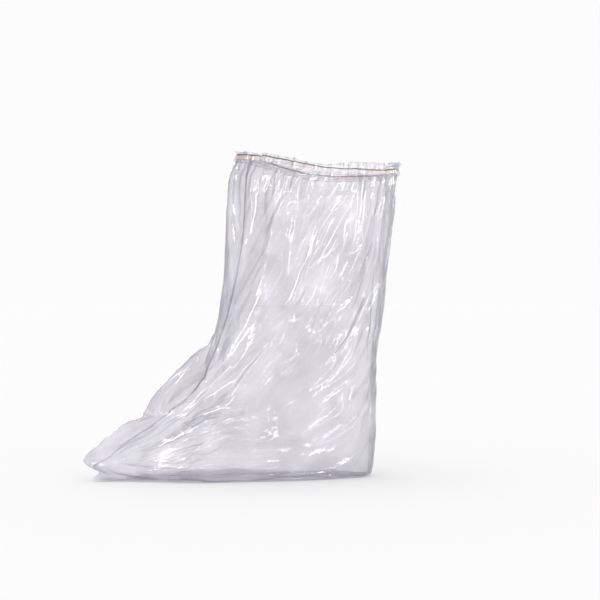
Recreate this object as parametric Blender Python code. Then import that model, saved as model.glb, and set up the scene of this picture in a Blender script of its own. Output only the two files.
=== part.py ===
"""Clear film shoe cover in its worn form: a welded film bag for the leg and the foot, whose turned-in
hem holds a flat elastic band. Metres, +Z up, toe towards -Y, +X to the wearer's left. The origin is on
the inner face of the sole, under the middle of the foot.
"""

import bisect
import math
from collections import namedtuple

import bmesh
import bpy
from mathutils import Vector

# Heights above the inner face of the sole
CUFF_HEIGHT = 0.357
INSTEP_HEIGHT = 0.150
WELD_HEIGHT = 0.020
CUFF_DROP = 0.013

# Lengths from the origin, to the front and to the back
TOE_REACH = 0.194
HEEL_REACH = 0.131
LEG_FRONT = 0.040
LEG_BACK = 0.154

# Full widths across
FOOT_WIDTH = 0.124
LEG_WIDTH = 0.124

# Film, hem and elastic
FILM_WALL = 0.001
HEM_DROP = 0.009
FRILL_RISE = 0.008
ELASTIC_WIDTH = 0.006
ELASTIC_THICKNESS = 0.0008
FIT_GAP = 0.0004

# Gathers under the elastic, and the frill above it
GATHER_COUNT = 15
GATHER_DEPTH = 0.0022
GATHER_FADE = 0.060
FRILL_DEPTH = 0.0024
FRILL_FLARE = 0.0015

# Loose folds of the film
FOLD_RISE = 0.007
FOLD_REACH = 0.022

# Mesh density
POINTS_PER_GATHER = 4
SOLE_POINTS = 6
SECTION_SAMPLES = 90
LEAST_HALF_WIDTH = 0.0004
LEAST_RISE = 0.00001
NARROW_SOLE = 0.004
SHARE_ABOVE_END = 0.86

# A level row: its height, its front and back ends, and its half widths at the ball, the waist and the
# heel, then how long the front taper is and how round it is. In the foot, heights are shares of
# INSTEP_HEIGHT, ends of TOE_REACH and HEEL_REACH, and widths of half FOOT_WIDTH. In the leg, heights are
# shares of the rise from the instep to the cuff, ends of LEG_FRONT and LEG_BACK, and widths of half
# LEG_WIDTH.
Level = namedtuple("Level", "height front back ball waist heel taper roundness")
FOOT_LEVELS = (
    Level(0.000, 0.930, 0.950, 0.80, 0.76, 0.60, 0.38, 1.15),
    Level(0.050, 0.960, 0.975, 0.88, 0.84, 0.66, 0.37, 1.15),
    Level(0.133, 1.000, 0.985, 0.96, 0.88, 0.70, 0.36, 1.20),
    Level(0.267, 0.900, 0.992, 1.00, 0.91, 0.71, 0.35, 1.25),
    Level(0.413, 0.745, 1.000, 0.95, 0.90, 0.70, 0.34, 1.35),
    Level(0.567, 0.622, 1.008, 0.88, 0.88, 0.70, 0.34, 1.40),
    Level(0.720, 0.531, 1.012, 0.86, 0.89, 0.71, 0.34, 1.45),
    Level(0.850, 0.424, 1.010, 0.88, 0.92, 0.73, 0.34, 1.55),
    Level(0.940, 0.340, 1.014, 0.90, 0.95, 0.76, 0.34, 1.65),
)
LEG_LEVELS = (
    Level(0.000, 1.400, 0.870, 0.91, 0.96, 0.78, 0.34, 1.70),
    Level(0.060, 1.250, 0.890, 0.91, 0.97, 0.79, 0.35, 1.75),
    Level(0.200, 1.110, 0.913, 0.91, 0.99, 0.80, 0.36, 1.80),
    Level(0.400, 1.000, 0.932, 0.91, 1.00, 0.82, 0.36, 1.80),
    Level(0.600, 0.955, 0.962, 0.90, 1.00, 0.82, 0.36, 1.80),
    Level(0.760, 0.945, 0.985, 0.87, 0.96, 0.80, 0.36, 1.80),
    Level(0.870, 0.900, 0.996, 0.82, 0.92, 0.77, 0.36, 1.80),
    Level(0.940, 0.760, 1.004, 0.76, 0.86, 0.74, 0.36, 1.80),
    Level(0.960, 0.700, 1.004, 0.74, 0.84, 0.73, 0.36, 1.80),
    Level(1.000, 0.620, 1.000, 0.72, 0.82, 0.72, 0.36, 1.80),
)
BALL_SHARE = 0.30
WAIST_SHARE = 0.60
HEEL_SHARE = 0.88
BACK_TAPER = 0.30
BACK_ROUNDNESS = 2.2

# A station is a ring of the film, with the number of rings that lead up to it. Its front runs from 0 at
# the cuff to 1 at the instep and 2 at the toe tip, and its back from 0 at the cuff to 1 at the heel and,
# along the sole, to 2 at the toe.
Station = namedtuple("Station", "front back rings")
STATIONS = (
    Station(0.07, 0.04, 1),
    Station(0.88, 0.50, 9),
    Station(1.20, 1.00, 10),
    Station(1.21, 1.02, 1),
    Station(1.38, 1.60, 8),
    Station(1.90, 1.90, 9),
    Station(1.96, 1.96, 1),
    Station(2.00, 2.00, 1),
)

# A fold row: where it starts and ends in the side view, y as shares of TOE_REACH and z of CUFF_HEIGHT,
# its rise and reach as shares of FOLD_RISE and FOLD_REACH, and its side: 1 is +X, -1 is -X.
Fold = namedtuple("Fold", "start_y start_z end_y end_z rise reach side")
FOLDS = (
    Fold(-0.05, 0.39, -0.56, 0.22, 0.80, 0.80, 1),
    Fold(-0.46, 0.26, -0.90, 0.10, 0.60, 0.65, 1),
    Fold(-0.26, 0.66, -0.30, 0.40, 0.55, 0.80, 1),
    Fold(0.53, 0.94, 0.32, 0.80, 0.45, 0.55, 1),
    Fold(0.32, 0.80, 0.17, 0.54, 0.60, 0.60, 1),
    Fold(0.12, 0.95, 0.00, 0.66, 0.40, 0.65, 1),
    Fold(0.58, 0.71, 0.28, 0.48, 0.80, 0.75, 1),
    Fold(0.30, 0.47, 0.02, 0.20, 0.50, 0.80, 1),
    Fold(0.70, 0.49, 0.44, 0.45, -0.60, 0.50, 1),
    Fold(-0.10, 0.42, -0.50, 0.24, 0.70, 0.80, -1),
    Fold(-0.30, 0.16, -0.62, 0.07, 1.00, 0.90, -1),
    Fold(-0.22, 0.68, -0.27, 0.38, 0.60, 0.80, -1),
    Fold(0.40, 0.92, 0.30, 0.56, 0.60, 0.65, -1),
    Fold(0.10, 0.94, 0.06, 0.62, 0.45, 0.60, -1),
    Fold(0.62, 0.66, 0.34, 0.44, 0.70, 0.70, -1),
    Fold(0.70, 0.48, 0.46, 0.44, -0.60, 0.50, -1),
)

# Colours: red, green, blue and alpha
FILM_COLOUR = (0.86, 0.86, 0.89, 0.35)
FILM_ROUGHNESS = 0.12
ELASTIC_COLOUR = (0.62, 0.47, 0.36, 1.0)
ELASTIC_ROUGHNESS = 0.55

RING_POINTS = POINTS_PER_GATHER * GATHER_COUNT


def level_rows():
    """The levels in metres, from the sole to the cuff."""
    rows = []
    leg_rise = CUFF_HEIGHT - INSTEP_HEIGHT
    for level in FOOT_LEVELS:
        half = FOOT_WIDTH / 2
        rows.append(
            Level(
                level.height * INSTEP_HEIGHT,
                -level.front * TOE_REACH,
                level.back * HEEL_REACH,
                level.ball * half,
                level.waist * half,
                level.heel * half,
                level.taper,
                level.roundness,
            )
        )
    for level in LEG_LEVELS:
        half = LEG_WIDTH / 2
        rows.append(
            Level(
                INSTEP_HEIGHT + level.height * leg_rise,
                -level.front * LEG_FRONT,
                level.back * LEG_BACK,
                level.ball * half,
                level.waist * half,
                level.heel * half,
                level.taper,
                level.roundness,
            )
        )
    return rows


def hermite(low, high, slope_low, slope_high, share, span):
    """The cubic that runs from low to high with the given slopes."""
    square = share * share
    cube = square * share
    return (
        (2 * cube - 3 * square + 1) * low
        + (cube - 2 * square + share) * span * slope_low
        + (3 * square - 2 * cube) * high
        + (cube - square) * span * slope_high
    )


def slopes(keys, values):
    """A slope at each key, flat where the values turn, so that the curve never overshoots."""
    steps = [(values[i + 1] - values[i]) / (keys[i + 1] - keys[i]) for i in range(len(keys) - 1)]
    found = [steps[0]]
    for before, after in zip(steps, steps[1:]):
        turning = before * after <= 0
        found.append(0.0 if turning else 2 * before * after / (before + after))
    found.append(steps[-1])
    return found


def smooth(keys, values, slope, at):
    """The value at a key, along a smooth curve through the values."""
    if at <= keys[0]:
        return values[0]
    if at >= keys[-1]:
        return values[-1]
    i = bisect.bisect_right(keys, at) - 1
    span = keys[i + 1] - keys[i]
    share = (at - keys[i]) / span
    return hermite(values[i], values[i + 1], slope[i], slope[i + 1], share, span)


LEVELS = level_rows()
LEVEL_HEIGHTS = [level.height for level in LEVELS]
LEVEL_COLUMNS = [(column, slopes(LEVEL_HEIGHTS, column)) for column in zip(*LEVELS)]


def section_at(z):
    """The level at any height, read between the rows."""
    return Level(*(smooth(LEVEL_HEIGHTS, values, slope, z) for values, slope in LEVEL_COLUMNS))


def rounded_end(share, roundness):
    """How full the width is near an end: 0 at the end, 1 from a share of 1 on."""
    if share >= 1:
        return 1.0
    return (1 - (1 - max(share, 0.0)) ** roundness) ** (1 / roundness)


def half_width(y, z):
    """Half the film's width at a place in the side view."""
    level = section_at(z)
    share = (y - level.front) / (level.back - level.front)
    keys = (BALL_SHARE, WAIST_SHARE, HEEL_SHARE)
    widths = (level.ball, level.waist, level.heel)
    body = smooth(keys, widths, slopes(keys, widths), share)
    front = rounded_end(share / level.taper, level.roundness)
    back = rounded_end((1 - share) / BACK_TAPER, BACK_ROUNDNESS)
    return body * front * back


def along(points, share):
    """The point at a share of a line's length."""
    steps = [(b - a).length for a, b in zip(points, points[1:])]
    wanted = share * sum(steps)
    for start, end, step in zip(points, points[1:], steps):
        if wanted <= step:
            return start.lerp(end, wanted / step)
        wanted -= step
    return points[-1]


def side_line(end, high, low):
    """The side view's outline at the levels' front or back end, from one height down to another."""
    points = []
    for i in range(SECTION_SAMPLES + 1):
        z = high + (low - high) * i / SECTION_SAMPLES
        points.append(Vector((0, getattr(section_at(z), end), z)))
    return points


def outlines():
    """The leg's and the foot's front outline, and the back and the sole outline, each from the cuff on."""
    leg_front = side_line("front", CUFF_HEIGHT, INSTEP_HEIGHT)
    foot_front = side_line("front", INSTEP_HEIGHT, WELD_HEIGHT)
    back = side_line("back", CUFF_HEIGHT, 0)
    sole = [back[-1], Vector((0, LEVELS[0].front, 0))]
    return (leg_front, foot_front), (back, sole)


def fold_offset(y, z, side):
    """How far the folds push a side panel outwards at a place in the side view."""
    offset = 0.0
    for fold in FOLDS:
        if fold.side != side:
            continue
        start = Vector((fold.start_y * TOE_REACH, fold.start_z * CUFF_HEIGHT))
        end = Vector((fold.end_y * TOE_REACH, fold.end_z * CUFF_HEIGHT))
        line = end - start
        share = (Vector((y, z)) - start).dot(line) / line.length_squared
        share = min(max(share, 0.0), 1.0)
        distance = (Vector((y, z)) - start - share * line).length
        reach = fold.reach * FOLD_REACH
        if distance < reach:
            crown = (1 - (distance / reach) ** 2) ** 2
            offset += fold.rise * FOLD_RISE * crown * math.sqrt(math.sin(math.pi * (0.1 + 0.8 * share)))
    return offset


def gather_depth(z):
    """How deep the gathers are at a height: most at the hem, fading down the leg."""
    if z > CUFF_HEIGHT:
        share = min((z - CUFF_HEIGHT) / FRILL_RISE, 1.0)
        return GATHER_DEPTH + (FRILL_DEPTH - GATHER_DEPTH) * share
    return GATHER_DEPTH * math.exp((z - CUFF_HEIGHT) / GATHER_FADE)


def plane_normals(ring):
    """The outward normal of each point of a ring, in the ring's own plane."""
    middle = sum(ring, Vector()) / len(ring)
    plane = sum(((a - middle).cross(b - middle) for a, b in zip(ring, ring[1:])), Vector()).normalized()
    found = []
    for i, point in enumerate(ring):
        tangent = ring[(i + 1) % len(ring)] - ring[i - 1]
        found.append(tangent.cross(plane).normalized())
    return found


def shifted(ring, distance):
    """The ring grown outwards by a distance, or shrunk by a negative one."""
    return [point + distance * normal for point, normal in zip(ring, plane_normals(ring))]


def spaced(half):
    """Even points along one panel's line, and where it ends at the sole's edge, on across the sole."""
    count = RING_POINTS // 2
    panel = count - SOLE_POINTS
    if half[-1].z > 0:
        return [along(half, i / count) for i in range(count + 1)]
    if half[-1].x == 0:
        above = [along(half, SHARE_ABOVE_END * i / panel) for i in range(panel)]
        rest = 1 - SHARE_ABOVE_END
        return above + [along(half, SHARE_ABOVE_END + rest * i / SOLE_POINTS) for i in range(SOLE_POINTS + 1)]
    middle = Vector((0, half[-1].y, half[-1].z))
    sole = [half[-1].lerp(middle, i / SOLE_POINTS) for i in range(1, SOLE_POINTS + 1)]
    return [along(half, i / panel) for i in range(panel + 1)] + sole


def film_ring(front, back):
    """The film's inner face in the plane through two points of the side view."""
    half = []
    for k in range(SECTION_SAMPLES + 1):
        share = (1 - math.cos(math.pi * k / SECTION_SAMPLES)) / 2
        place = front.lerp(back, share)
        wide = max(half_width(place.y, place.z), LEAST_HALF_WIDTH)
        half.append(Vector((wide, place.y, place.z)))
    half[0].x = 0
    if back.z > 0 or half[-1].x < NARROW_SOLE:
        half[-1].x = 0
    right = spaced(half)
    left = [Vector((-point.x, point.y, point.z)) for point in reversed(right[1:-1])]
    ring = right + left
    return gathered(folded(ring))


def folded(ring):
    """The ring with its side panels pushed out by the folds."""
    for point in ring:
        side = 1 if point.x > 0 else -1
        fade = min(abs(point.x) / FOLD_REACH, 1.0)
        on_sole = point.z < LEAST_RISE
        if not on_sole:
            point.x += side * fade * fold_offset(point.y, point.z, side)
    return ring


def gathered(ring):
    """The ring with the gathers' waves."""
    normals = plane_normals(ring)
    waved = []
    for i, point in enumerate(ring):
        depth = gather_depth(point.z) if point.z > INSTEP_HEIGHT else 0.0
        wave = math.cos(2 * math.pi * i / POINTS_PER_GATHER)
        waved.append(point + depth * wave * normals[i])
    return waved


def hem_ring(rise, offset):
    """A ring of the hem at a rise above the elastic's middle, moved in or out from the wall."""
    level = CUFF_HEIGHT + rise
    section = section_at(level)
    front = Vector((0, section.front, level))
    back = Vector((0, section.back, level))
    flare = FRILL_FLARE * max(rise, 0.0) / FRILL_RISE
    return shifted(film_ring(front, back), offset + flare)


def between(low, high, share):
    """The ring part of the way from one ring to another."""
    return [a.lerp(b, share) for a, b in zip(low, high)]


def place_on(lines, at):
    """The point on a chain of lines, where each whole number ends one line and starts the next."""
    number = min(int(at), len(lines) - 1)
    return along(lines[number], at - number)


def body_rings():
    """The film's inner face below the hem, ring by ring from the cuff to the toe."""
    fronts, backs = outlines()
    rings = []
    start = Station(0.0, 0.0, 0)
    for end in STATIONS:
        for i in range(1, end.rings + 1):
            share = i / end.rings
            front = place_on(fronts, start.front + (end.front - start.front) * share)
            back = place_on(backs, start.back + (end.back - start.back) * share)
            rings.append(film_ring(front, back))
        start = end
    return rings


def outer_face(ring):
    """The film's outer face for a ring of its inner face, flat where the sole lies."""
    outer = shifted(ring, FILM_WALL)
    for inner_point, outer_point in zip(ring, outer):
        on_sole = inner_point.z < LEAST_RISE
        outer_point.z = -FILM_WALL if on_sole else max(outer_point.z, -FILM_WALL)
    return outer


def tilted(point):
    """The point lowered towards the back, the more the nearer it is to the cuff."""
    rise = min(max((point.z - INSTEP_HEIGHT) / (CUFF_HEIGHT - INSTEP_HEIGHT), 0.0), 1.0)
    depth = (point.y + LEG_FRONT) / (LEG_BACK + LEG_FRONT)
    return Vector((point.x, point.y, point.z - CUFF_DROP * rise * rise * max(depth, 0.0)))


def skin(mesh, rows):
    """Faces between each row of points and the next."""
    for low, high in zip(rows, rows[1:]):
        count = len(low)
        for i in range(count):
            j = (i + 1) % count
            mesh.faces.new((low[i], low[j], high[j], high[i]))


def close_toe(mesh, row):
    """Faces across a flattened ring, between the two panels."""
    count = len(row)
    for i in range(count // 2):
        corners = []
        for corner in (row[i], row[i + 1], row[(count - i - 1) % count], row[(count - i) % count]):
            if corner not in corners:
                corners.append(corner)
        mesh.faces.new(corners)


def solid(name, mesh, colour, roughness):
    """An object from a mesh, smooth over its folds, with its own material."""
    bmesh.ops.recalc_face_normals(mesh, faces=mesh.faces)
    data = bpy.data.meshes.new(name)
    mesh.to_mesh(data)
    mesh.free()
    data.shade_smooth()
    data.set_sharp_from_angle(angle=math.radians(50))
    material = bpy.data.materials.new(name)
    material.use_nodes = True
    shader = material.node_tree.nodes["Principled BSDF"]
    shader.inputs["Base Color"].default_value = colour
    shader.inputs["Alpha"].default_value = colour[3]
    shader.inputs["Roughness"].default_value = roughness
    shader.inputs["Metallic"].default_value = 0.0
    data.materials.append(material)
    piece = bpy.data.objects.new(name, data)
    bpy.context.collection.objects.link(piece)
    return piece


def point_row(mesh, ring):
    """A ring's points, tilted with the cuff, as vertices."""
    return [mesh.verts.new(tilted(point)) for point in ring]


def film_cover():
    """The film bag: its outer face, the frill's fold, the hem's flap and the inner face, as one solid."""
    flap_outside = -(2 * FIT_GAP + ELASTIC_THICKNESS)
    flap_inside = flap_outside - FILM_WALL
    body = body_rings()
    toe_end = [point + Vector((0, -FILM_WALL, 0)) for point in outer_face(body[-1])]
    rows = [toe_end]
    rows += [outer_face(ring) for ring in reversed(body)]
    rows.append(hem_ring(-HEM_DROP, FILM_WALL))
    rows.append(hem_ring(0, FILM_WALL))
    rows.append(hem_ring(FRILL_RISE, FILM_WALL))
    rows.append(hem_ring(FRILL_RISE, flap_inside))
    rows.append(hem_ring(0, flap_inside))
    rows.append(hem_ring(-HEM_DROP, flap_inside))
    rows.append(hem_ring(-HEM_DROP, flap_outside))
    rows.append(hem_ring(0, flap_outside))
    rows.append(hem_ring(FRILL_RISE - FILM_WALL, flap_outside))
    rows.append(hem_ring(FRILL_RISE - FILM_WALL, 0))
    rows.append(hem_ring(0, 0))
    rows.append(hem_ring(-HEM_DROP, 0))
    rows += body
    mesh = bmesh.new()
    placed = [point_row(mesh, row) for row in rows]
    skin(mesh, placed)
    close_toe(mesh, placed[0])
    close_toe(mesh, placed[-1])
    solid("film_cover", mesh, FILM_COLOUR, FILM_ROUGHNESS)


def elastic_band():
    """The flat elastic inside the hem: a loop that follows the gathers, clear of the film on each side."""
    outside = -FIT_GAP
    inside = outside - ELASTIC_THICKNESS
    half = ELASTIC_WIDTH / 2
    rows = []
    for offset in (outside, inside):
        low = between(hem_ring(0, offset), hem_ring(-HEM_DROP, offset), half / HEM_DROP)
        top_share = half / (FRILL_RISE - FILM_WALL)
        high = between(hem_ring(0, offset), hem_ring(FRILL_RISE - FILM_WALL, offset), top_share)
        face = [low, hem_ring(0, offset), high]
        rows += face if offset == outside else face[::-1]
    mesh = bmesh.new()
    placed = [point_row(mesh, row) for row in rows]
    skin(mesh, placed + placed[:1])
    solid("elastic_band", mesh, ELASTIC_COLOUR, ELASTIC_ROUGHNESS)


def main():
    for leftover in list(bpy.data.objects):
        bpy.data.objects.remove(leftover)
    film_cover()
    elastic_band()


main()
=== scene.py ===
import math

import bpy
import numpy as np
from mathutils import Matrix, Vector


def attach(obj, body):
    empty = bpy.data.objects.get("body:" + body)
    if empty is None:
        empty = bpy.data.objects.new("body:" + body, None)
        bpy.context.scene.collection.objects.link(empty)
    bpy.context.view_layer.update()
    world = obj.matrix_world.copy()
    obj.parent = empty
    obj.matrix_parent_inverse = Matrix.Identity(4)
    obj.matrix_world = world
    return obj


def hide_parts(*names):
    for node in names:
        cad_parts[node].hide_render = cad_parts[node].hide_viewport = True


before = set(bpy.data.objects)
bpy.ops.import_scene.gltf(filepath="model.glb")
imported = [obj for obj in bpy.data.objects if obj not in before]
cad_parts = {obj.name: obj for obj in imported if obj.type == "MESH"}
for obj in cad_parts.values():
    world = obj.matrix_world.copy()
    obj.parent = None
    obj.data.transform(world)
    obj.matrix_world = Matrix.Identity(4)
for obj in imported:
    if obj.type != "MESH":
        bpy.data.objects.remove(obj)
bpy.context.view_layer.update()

# Heights above the inner face of the sole, in metres, as the frame has them
CUFF_HEIGHT = 0.357
INSTEP_HEIGHT = 0.150
WELD_HEIGHT = 0.020

# How far the cuff's line drops towards the back and then lifts a little, and where each starts and over
# what span it runs, as shares of the leg's depth
CUFF_DROP = (0.0195, 0.03, 0.64)
BACK_LIFT = (0.003, 0.88, 0.12)

# Lengths from the origin, to the front and to the back
TOE_REACH = 0.194
HEEL_REACH = 0.131
LEG_FRONT = 0.040
LEG_BACK = 0.154

# Full widths across
FOOT_WIDTH = 0.124
LEG_WIDTH = 0.124

# In the tables below, a place in the side view is y as a share of TOE_REACH and z of CUFF_HEIGHT, and a side
# is 1 for +X and -1 for -X.

# The film's mesh. The last points of a panel's line are the sole's. Where the ring has no flat sole of its
# own, they come after these shares of the line, at the toe's end and at the heel.
RING_POINTS = 180
SOLE_POINTS = 18
SECTION_SAMPLES = 160
LEAST_HALF_WIDTH = 0.0004
LEAST_RISE = 0.00001
LEAST_AREA = 1e-12
NARROW_SOLE = 0.004
SHARE_ABOVE_END = 0.86
SHARE_ABOVE_HEEL = 0.94

# Loose folds of the film: how far they rise and reach, how round the crest is, how its sides fall and how
# far in from its ends the sine of its rise starts
FOLD_RISE = 0.007
FOLD_REACH = 0.022
CREST_RADIUS = 0.0015
CREST_FALL = 1.5
FOLD_END = 0.1

# A level row: height, front and back ends, half widths at the ball, the waist and the heel, then how long
# the front taper is and how round. In the foot, heights are shares of INSTEP_HEIGHT, ends of TOE_REACH and
# HEEL_REACH, and widths of half FOOT_WIDTH. In the leg, heights are shares of the rise from the instep to
# the cuff, ends of LEG_FRONT and LEG_BACK, and widths of half LEG_WIDTH.
FOOT_LEVELS = (
    (0.000, 0.930, 0.950, 0.80, 0.76, 0.60, 0.38, 1.15),
    (0.050, 0.960, 0.975, 0.88, 0.84, 0.66, 0.37, 1.15),
    (0.133, 1.000, 0.985, 0.96, 0.88, 0.70, 0.36, 1.20),
    (0.267, 0.905, 0.992, 1.00, 0.91, 0.71, 0.35, 1.25),
    (0.413, 0.755, 1.000, 0.95, 0.90, 0.70, 0.34, 1.35),
    (0.468, 0.662, 1.003, 0.92, 0.89, 0.70, 0.34, 1.37),
    (0.567, 0.622, 1.008, 0.88, 0.88, 0.70, 0.34, 1.40),
    (0.720, 0.531, 1.012, 0.86, 0.89, 0.71, 0.34, 1.45),
    (0.850, 0.424, 1.010, 0.88, 0.92, 0.73, 0.34, 1.55),
    (0.940, 0.340, 1.014, 0.90, 0.95, 0.76, 0.34, 1.65),
)
LEG_LEVELS = (
    (0.000, 1.400, 0.870, 0.91, 0.96, 0.78, 0.34, 1.70),
    (0.060, 1.250, 0.890, 0.91, 0.97, 0.79, 0.35, 1.75),
    (0.200, 1.110, 0.913, 0.91, 0.99, 0.80, 0.36, 1.80),
    (0.400, 1.000, 0.932, 0.91, 1.00, 0.82, 0.36, 1.80),
    (0.600, 0.955, 0.962, 0.90, 1.00, 0.82, 0.36, 1.80),
    (0.760, 0.945, 0.985, 0.87, 0.96, 0.80, 0.36, 1.80),
    (0.870, 0.900, 0.996, 0.82, 0.92, 0.77, 0.36, 1.80),
    (0.940, 0.760, 1.004, 0.76, 0.86, 0.74, 0.36, 1.80),
    (0.960, 0.700, 1.004, 0.74, 0.84, 0.73, 0.36, 1.80),
    (1.000, 0.620, 1.000, 0.72, 0.82, 0.72, 0.36, 1.80),
)
WIDTH_SHARES = (0.30, 0.60, 0.88)
FRONT_SLACK = 0.35
BACK_TAPER = 0.30
BACK_ROUNDNESS = 2.2

# A station is a ring of the film, with the number of rings that lead up to it. Its front runs from 0 at
# the cuff to 1 at the instep and 2 at the toe tip, and its back from 0 at the cuff to 1 at the heel and,
# along the sole, to 2 at the toe. The film's rings start after BAG_START, just below the elastic.
BAG_START = (0.018, 0.0105)
STATIONS = (
    (0.07, 0.04, 4),
    (0.88, 0.50, 32),
    (1.20, 1.00, 30),
    (1.22, 1.03, 2),
    (1.38, 1.60, 24),
    (1.90, 1.90, 20),
    (1.97, 1.97, 5),
    (2.00, 2.00, 3),
)

# The weld down the front is the ring point of this number, counted from the middle plane, and follows a
# path in the side view. The first rings are evenly spaced instead, and each ring's share is evened out over
# this many rings before and after it.
WELD_POINTS = 11
WELD_PATH = (
    (-0.130, 0.800),
    (-0.147, 0.585),
    (-0.184, 0.489),
    (-0.255, 0.392),
    (-0.375, 0.285),
    (-0.515, 0.206),
    (-0.690, 0.148),
    (-0.855, 0.081),
    (-0.940, 0.038),
)
WELD_PATH_SAMPLES = 400
WELD_EVEN_RINGS = 15
WELD_EVENING = 6

# A fold row: where it starts and ends in the side view, its rise and reach as shares of FOLD_RISE and
# FOLD_REACH, and its side
FOLDS = (
    (-0.05, 0.39, -0.56, 0.22, 0.80, 0.80, 1),
    (-0.46, 0.26, -0.90, 0.10, 0.60, 0.65, 1),
    (-0.26, 0.66, -0.30, 0.40, 0.55, 0.80, 1),
    (0.53, 0.94, 0.32, 0.80, 0.45, 0.55, 1),
    (0.32, 0.80, 0.17, 0.54, 0.60, 0.60, 1),
    (0.12, 0.95, 0.00, 0.66, 0.40, 0.65, 1),
    (0.58, 0.71, 0.28, 0.48, 0.80, 0.75, 1),
    (0.30, 0.47, 0.02, 0.20, 0.50, 0.80, 1),
    (0.70, 0.49, 0.44, 0.45, -0.60, 0.50, 1),
    (-0.10, 0.42, -0.50, 0.24, 0.70, 0.80, -1),
    (-0.30, 0.16, -0.62, 0.07, 1.00, 0.90, -1),
    (-0.22, 0.68, -0.27, 0.38, 0.60, 0.80, -1),
    (0.40, 0.92, 0.30, 0.56, 0.60, 0.65, -1),
    (0.10, 0.94, 0.06, 0.62, 0.45, 0.60, -1),
    (0.62, 0.66, 0.34, 0.44, 0.70, 0.70, -1),
    (0.70, 0.48, 0.46, 0.44, -0.60, 0.50, -1),
)


def level_table():
    """The levels in metres, one row each, from the sole to the cuff."""
    foot = np.array(FOOT_LEVELS)
    leg = np.array(LEG_LEVELS)
    foot[:, :3] *= (INSTEP_HEIGHT, -TOE_REACH, HEEL_REACH)
    foot[:, 3:6] *= FOOT_WIDTH / 2
    leg[:, :3] *= (CUFF_HEIGHT - INSTEP_HEIGHT, -LEG_FRONT, LEG_BACK)
    leg[:, 3:6] *= LEG_WIDTH / 2
    leg[:, 0] += INSTEP_HEIGHT
    return np.concatenate([foot, leg])


def hermite(low, high, slope_low, slope_high, share, span):
    """The cubic that runs from low to high with the given slopes."""
    square = share * share
    cube = square * share
    start = (2 * cube - 3 * square + 1) * low + (cube - 2 * square + share) * span * slope_low
    return start + (3 * square - 2 * cube) * high + (cube - square) * span * slope_high


def slopes(keys, values):
    """A slope at each key, flat where the values turn, so that the curve never overshoots."""
    steps = (values[1:] - values[:-1]) / (keys[1:] - keys[:-1])[:, None]
    product = steps[:-1] * steps[1:]
    total = steps[:-1] + steps[1:]
    inner = np.where(product > 0, 2 * product / np.where(total == 0, 1, total), 0)
    return np.concatenate([steps[:1], inner, steps[-1:]])


LEVELS = level_table()
LEVEL_SLOPES = slopes(LEVELS[:, 0], LEVELS)


def sections_at(z):
    """The columns of the level table at each height, read between its rows."""
    keys = LEVELS[:, 0]
    z = np.clip(z, keys[0], keys[-1])
    i = np.clip(np.searchsorted(keys, z, side="right") - 1, 0, len(keys) - 2)
    span = (keys[i + 1] - keys[i])[:, None]
    share = (z - keys[i])[:, None] / span
    return hermite(LEVELS[i], LEVELS[i + 1], LEVEL_SLOPES[i], LEVEL_SLOPES[i + 1], share, span)


def rounded_end(share, roundness):
    """How full the width is near an end: 0 at the end, 1 from a share of 1 on."""
    return (1 - (1 - np.clip(share, 0, 1)) ** roundness) ** (1 / roundness)


def half_widths(y, z):
    """Half the film's width at places in the side view."""
    columns = sections_at(z)
    front, back, taper = columns[:, 1], columns[:, 2], columns[:, 6]
    roundness = 1 + FRONT_SLACK * (columns[:, 7] - 1)
    widths = columns[:, 3:6]
    share = (y - front) / (back - front)
    keys = np.array(WIDTH_SHARES)
    slope = slopes(keys, widths.T)
    between = [
        hermite(widths[:, k], widths[:, k + 1], slope[k], slope[k + 1], (share - keys[k]) / gap, gap)
        for k, gap in enumerate(np.diff(keys))
    ]
    body = np.select([share <= key for key in keys], [widths[:, 0], *between], widths[:, 2])
    front_end = rounded_end(share / taper, roundness)
    back_end = rounded_end((1 - share) / BACK_TAPER, BACK_ROUNDNESS)
    return body * front_end * back_end


def lengths(points):
    """The length along a line of points, at each point."""
    steps = np.linalg.norm(np.diff(points, axis=0), axis=1)
    return np.concatenate([[0], np.cumsum(steps)])


def along(points, shares):
    """The points at shares of a line's length."""
    at = lengths(points)
    wanted = np.asarray(shares) * at[-1]
    return np.stack([np.interp(wanted, at, points[:, k]) for k in range(points.shape[1])], axis=-1)


def outlines():
    """The leg's and the foot's front outline, and the back and the sole outline, each from the cuff on."""
    leg = np.linspace(CUFF_HEIGHT, INSTEP_HEIGHT, SECTION_SAMPLES)
    foot = np.linspace(INSTEP_HEIGHT, WELD_HEIGHT, SECTION_SAMPLES)
    whole = np.linspace(CUFF_HEIGHT, 0, SECTION_SAMPLES)
    leg_front = np.stack([sections_at(leg)[:, 1], leg], axis=1)
    foot_front = np.stack([sections_at(foot)[:, 1], foot], axis=1)
    back = np.stack([sections_at(whole)[:, 2], whole], axis=1)
    sole = np.array([back[-1], (LEVELS[0][1], 0)])
    return (leg_front, foot_front), (back, sole)


def place_on(lines, at):
    """The point on a chain of lines, where each whole number ends one line and starts the next."""
    number = min(int(at), len(lines) - 1)
    return along(lines[number], [at - number])[0]


def half_line(front, back):
    """One panel's line from the front to the back in a ring's plane, as closely spaced (x, y, z) points."""
    k = np.arange(SECTION_SAMPLES + 1)
    share = (1 - np.cos(np.pi * k / SECTION_SAMPLES)) / 2
    place = front + share[:, None] * (back - front)
    wide = np.maximum(half_widths(place[:, 0], place[:, 1]), LEAST_HALF_WIDTH)
    wide[0] = 0
    return np.column_stack([wide, place])


def spread(above, weld_share):
    """The shares of a line at a panel's points, with the weld's point at the weld's share."""
    panel = RING_POINTS // 2 - SOLE_POINTS
    if weld_share is None:
        return np.linspace(0, above, panel + 1)
    return np.interp(np.arange(panel + 1), (0, WELD_POINTS, panel), (0, weld_share, above))


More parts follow.
